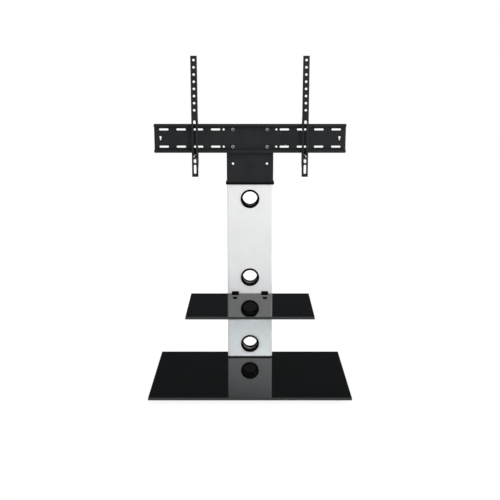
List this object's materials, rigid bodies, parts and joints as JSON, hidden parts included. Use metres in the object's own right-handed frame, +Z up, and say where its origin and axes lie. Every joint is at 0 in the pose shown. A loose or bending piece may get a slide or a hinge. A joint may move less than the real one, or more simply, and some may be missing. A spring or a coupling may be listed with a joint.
{
  "type": "tv stand with mount",
  "caption": "Free-standing TV stand: black glass base and shelf, boxed white column with round cable ports, and a slotted rail that carries two sliding, lockable TV arms.",
  "frame": {"origin": "centre of the base glass's outline on the floor", "axes": "+Z up, the front faces -Y, +X to the right as seen from the front"},
  "size_m": [0.7, 0.45, 1.1685],
  "materials": {
    "black_glass": "opaque black tempered glass, polished edges",
    "black_steel": "satin black powder coat, fine texture",
    "white_steel": "satin white powder coat",
    "zinc": "bright zinc plate",
    "rubber": "matt black rubber",
    "black_plastic": "satin black moulded plastic",
    "black_cap": "gloss black lacquer"
  },
  "bodies": {
    "root": {"base_glass": "black_glass", "base_feet": "rubber", "base_plate": "black_steel", "base_pad": "rubber", "base_bolts": "zinc", "base_washers": "zinc", "column_gasket": "rubber", "column_foot": "black_steel", "column_front": "white_steel", "column_back": "white_steel", "cover_screws": "zinc", "column_head": "black_steel", "column_nuts": "zinc", "column_cap": "black_plastic", "front_grommet_low": "black_plastic", "front_grommet_middle": "black_plastic", "front_grommet_top": "black_plastic", "rear_grommet_low": "black_plastic", "rear_grommet_middle": "black_plastic", "rear_grommet_top": "black_plastic", "shelf_glass": "black_glass", "shelf_bracket_left": "black_steel", "shelf_bracket_right": "black_steel", "bracket_screws": "zinc", "bracket_nuts": "zinc", "shelf_pads": "rubber", "shelf_bushes": "black_plastic", "shelf_bolts": "black_cap", "shelf_nuts": "zinc", "neck": "black_steel", "neck_bolts": "zinc", "neck_washers": "zinc", "rail": "black_steel", "rail_bolts": "zinc", "rail_washers": "zinc", "rail_nuts": "zinc"},
    "left_arm": {"left_arm": "black_steel", "left_lock_plate": "black_steel", "left_lock_nut": "zinc"},
    "left_washer": {"left_lock_washer": "zinc"},
    "left_screw": {"left_lock_screw": "zinc"},
    "right_arm": {"right_arm": "black_steel", "right_lock_plate": "black_steel", "right_lock_nut": "zinc"},
    "right_washer": {"right_lock_washer": "zinc"},
    "right_screw": {"right_lock_screw": "zinc"}
  },
  "joints": [
    {"name": "left_arm_slide", "type": "slide", "parent": "root", "child": "left_arm", "axis": [1, 0, 0], "range_m": [-0.135, 0.187]},
    {"name": "left_lock_travel", "type": "slide", "parent": "left_arm", "child": "left_washer", "axis": [0, 0, 1], "range_m": [-0.00875, 0]},
    {"name": "left_lock_turn", "type": "hinge", "parent": "left_washer", "child": "left_screw", "pos_m": [-0.2, 0.1542, 0.79], "axis": [0, 0, 1], "range_deg": [-2521, 0]},
    {"name": "right_arm_slide", "type": "slide", "parent": "root", "child": "right_arm", "axis": [1, 0, 0], "range_m": [-0.187, 0.135]},
    {"name": "right_lock_travel", "type": "slide", "parent": "right_arm", "child": "right_washer", "axis": [0, 0, 1], "range_m": [-0.00875, 0]},
    {"name": "right_lock_turn", "type": "hinge", "parent": "right_washer", "child": "right_screw", "pos_m": [0.2, 0.1542, 0.79], "axis": [0, 0, 1], "range_deg": [-2521, 0]}
  ],
  "couplings": [
    {"joint": "left_lock_turn", "follows": "left_lock_travel", "rad_per_m": 5026.5},
    {"joint": "right_lock_turn", "follows": "right_lock_travel", "rad_per_m": 5026.5}
  ]
}
